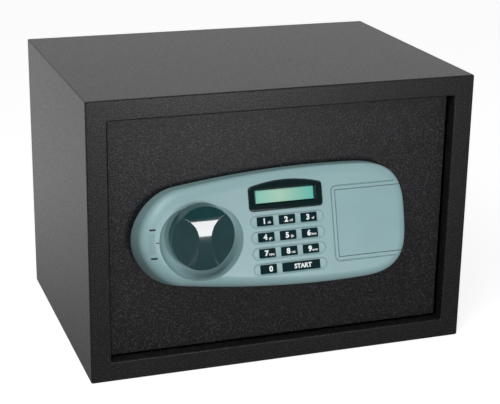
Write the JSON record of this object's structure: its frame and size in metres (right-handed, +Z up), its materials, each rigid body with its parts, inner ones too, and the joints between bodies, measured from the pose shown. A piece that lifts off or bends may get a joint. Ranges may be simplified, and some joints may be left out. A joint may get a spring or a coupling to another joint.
{
  "type": "in-room safe",
  "caption": "Small steel in-room safe with a recessed right-hinged door, a sloping control panel with display and keys, a turning knob and sliding bolts.",
  "frame": {"origin": "centre of the cabinet's underside", "axes": "+Z up, the door faces -Y, +X to the right as seen from the front"},
  "size_m": [0.35, 0.2803, 0.25],
  "materials": {
    "cabinet_paint": "dark grey powder coat with a fine orange-peel surface",
    "door_paint": "charcoal powder coat with a fine orange-peel surface",
    "panel_plastic": "satin pale blue-green grey moulding",
    "cover_plastic": "satin blue-green grey moulding",
    "dark_gloss": "gloss green-black",
    "display_glass": "pale green liquid-crystal display, gloss",
    "knob_plastic": "dark smoky teal, gloss",
    "key_rubber": "satin black",
    "bright_steel": "bright plated",
    "zinc_steel": "zinc plated",
    "brass": "machined",
    "case_plastic": "fine-grained dark grey moulding",
    "black_plastic": "satin black",
    "board_green": "green solder mask",
    "mat_felt": "dark needle felt",
    "cell_jacket": "dark printed jacket",
    "red_plastic": "gloss red"
  },
  "bodies": {
    "cabinet": {"cabinet_shell": "cabinet_paint", "back_panel": "cabinet_paint", "floor_mat": "mat_felt", "hinge_bracket_upper": "zinc_steel", "hinge_bracket_lower": "zinc_steel", "hinge_pin_upper": "bright_steel", "hinge_pin_lower": "bright_steel"},
    "door": {"door_plate": "door_paint", "hinge_lug_upper": "zinc_steel", "hinge_lug_lower": "zinc_steel", "cable_grommet": "black_plastic", "control_panel": "panel_plastic", "display_bezel": "dark_gloss", "display_window": "display_glass", "keypad_mat": "key_rubber", "circuit_board": "board_green", "lock_barrel": "zinc_steel", "lock_nut": "zinc_steel", "bolt_guide": "zinc_steel", "guide_stud_upper": "bright_steel", "guide_stud_lower": "bright_steel", "solenoid_body": "zinc_steel", "lock_case": "case_plastic", "battery_tray": "black_plastic", "battery_1": "cell_jacket", "battery_2": "cell_jacket", "battery_3": "cell_jacket", "battery_4": "cell_jacket", "case_screw_1": "bright_steel", "case_screw_2": "bright_steel", "case_screw_3": "bright_steel", "case_screw_4": "bright_steel", "panel_screw_1": "bright_steel", "panel_screw_2": "bright_steel", "panel_screw_3": "bright_steel", "panel_screw_4": "bright_steel"},
    "knob": {"knob": "knob_plastic", "knob_spindle": "bright_steel", "drive_cam": "zinc_steel"},
    "bolts": {"bolt_carriage": "zinc_steel", "bolt_upper": "bright_steel", "bolt_lower": "bright_steel"},
    "key_cover": {"key_cover": "cover_plastic"},
    "lock_plug": {"lock_plug": "brass", "lock_cam": "zinc_steel"},
    "plunger": {"solenoid_plunger": "bright_steel"},
    "battery_lid": {"battery_lid": "case_plastic"},
    "reset_button": {"reset_button": "red_plastic"},
    "key_0": {"key_0": "key_rubber"},
    "key_1": {"key_1": "key_rubber"},
    "key_2": {"key_2": "key_rubber"},
    "key_3": {"key_3": "key_rubber"},
    "key_4": {"key_4": "key_rubber"},
    "key_5": {"key_5": "key_rubber"},
    "key_6": {"key_6": "key_rubber"},
    "key_7": {"key_7": "key_rubber"},
    "key_8": {"key_8": "key_rubber"},
    "key_9": {"key_9": "key_rubber"},
    "key_start": {"key_start": "key_rubber"}
  },
  "joints": [
    {"name": "door_hinge", "type": "hinge", "parent": "cabinet", "child": "door", "pos_m": [0.147, -0.106, 0.125], "axis": [0, 0, 1], "range_deg": [0, 90]},
    {"name": "knob_turn", "type": "hinge", "parent": "door", "child": "knob", "pos_m": [-0.082, -0.1362, 0.1325], "axis": [0, 1, 0], "range_deg": [-15.5, 15.5]},
    {"name": "bolt_slide", "type": "slide", "parent": "door", "child": "bolts", "axis": [-1, 0, 0], "range_m": [-0.008, 0.008]},
    {"name": "key_cover_slide", "type": "slide", "parent": "door", "child": "key_cover", "axis": [1, 0, 0], "range_m": [0, 0.019]},
    {"name": "lock_plug_turn", "type": "hinge", "parent": "door", "child": "lock_plug", "pos_m": [0.0535, -0.133, 0.13], "axis": [0, 1, 0], "range_deg": [0, 90]},
    {"name": "plunger_slide", "type": "slide", "parent": "door", "child": "plunger", "axis": [-1, 0, 0], "range_m": [0, 0.005], "stiffness_N_per_m": 80},
    {"name": "battery_lid_slide", "type": "slide", "parent": "door", "child": "battery_lid", "axis": [0, 0, -1], "range_m": [0, 0.045]},
    {"name": "reset_button_press", "type": "slide", "parent": "door", "child": "reset_button", "axis": [0, -1, 0], "range_m": [0, 0.002], "stiffness_N_per_m": 300},
    {"name": "key_0_press", "type": "slide", "parent": "door", "child": "key_0", "axis": [0, 0.9613, -0.2756], "range_m": [0, 0.0012], "stiffness_N_per_m": 400},
    {"name": "key_1_press", "type": "slide", "parent": "door", "child": "key_1", "axis": [0, 0.9613, -0.2756], "range_m": [0, 0.0012], "stiffness_N_per_m": 400},
    {"name": "key_2_press", "type": "slide", "parent": "door", "child": "key_2", "axis": [0, 0.9613, -0.2756], "range_m": [0, 0.0012], "stiffness_N_per_m": 400},
    {"name": "key_3_press", "type": "slide", "parent": "door", "child": "key_3", "axis": [0, 0.9613, -0.2756], "range_m": [0, 0.0012], "stiffness_N_per_m": 400},
    {"name": "key_4_press", "type": "slide", "parent": "door", "child": "key_4", "axis": [0, 0.9613, -0.2756], "range_m": [0, 0.0012], "stiffness_N_per_m": 400},
    {"name": "key_5_press", "type": "slide", "parent": "door", "child": "key_5", "axis": [0, 0.9613, -0.2756], "range_m": [0, 0.0012], "stiffness_N_per_m": 400},
    {"name": "key_6_press", "type": "slide", "parent": "door", "child": "key_6", "axis": [0, 0.9613, -0.2756], "range_m": [0, 0.0012], "stiffness_N_per_m": 400},
    {"name": "key_7_press", "type": "slide", "parent": "door", "child": "key_7", "axis": [0, 0.9613, -0.2756], "range_m": [0, 0.0012], "stiffness_N_per_m": 400},
    {"name": "key_8_press", "type": "slide", "parent": "door", "child": "key_8", "axis": [0, 0.9613, -0.2756], "range_m": [0, 0.0012], "stiffness_N_per_m": 400},
    {"name": "key_9_press", "type": "slide", "parent": "door", "child": "key_9", "axis": [0, 0.9613, -0.2756], "range_m": [0, 0.0012], "stiffness_N_per_m": 400},
    {"name": "key_start_press", "type": "slide", "parent": "door", "child": "key_start", "axis": [0, 0.9613, -0.2756], "range_m": [0, 0.0012], "stiffness_N_per_m": 400}
  ],
  "couplings": [
    {"joint": "knob_turn", "follows": "bolt_slide", "rad_per_m": 33.784}
  ]
}
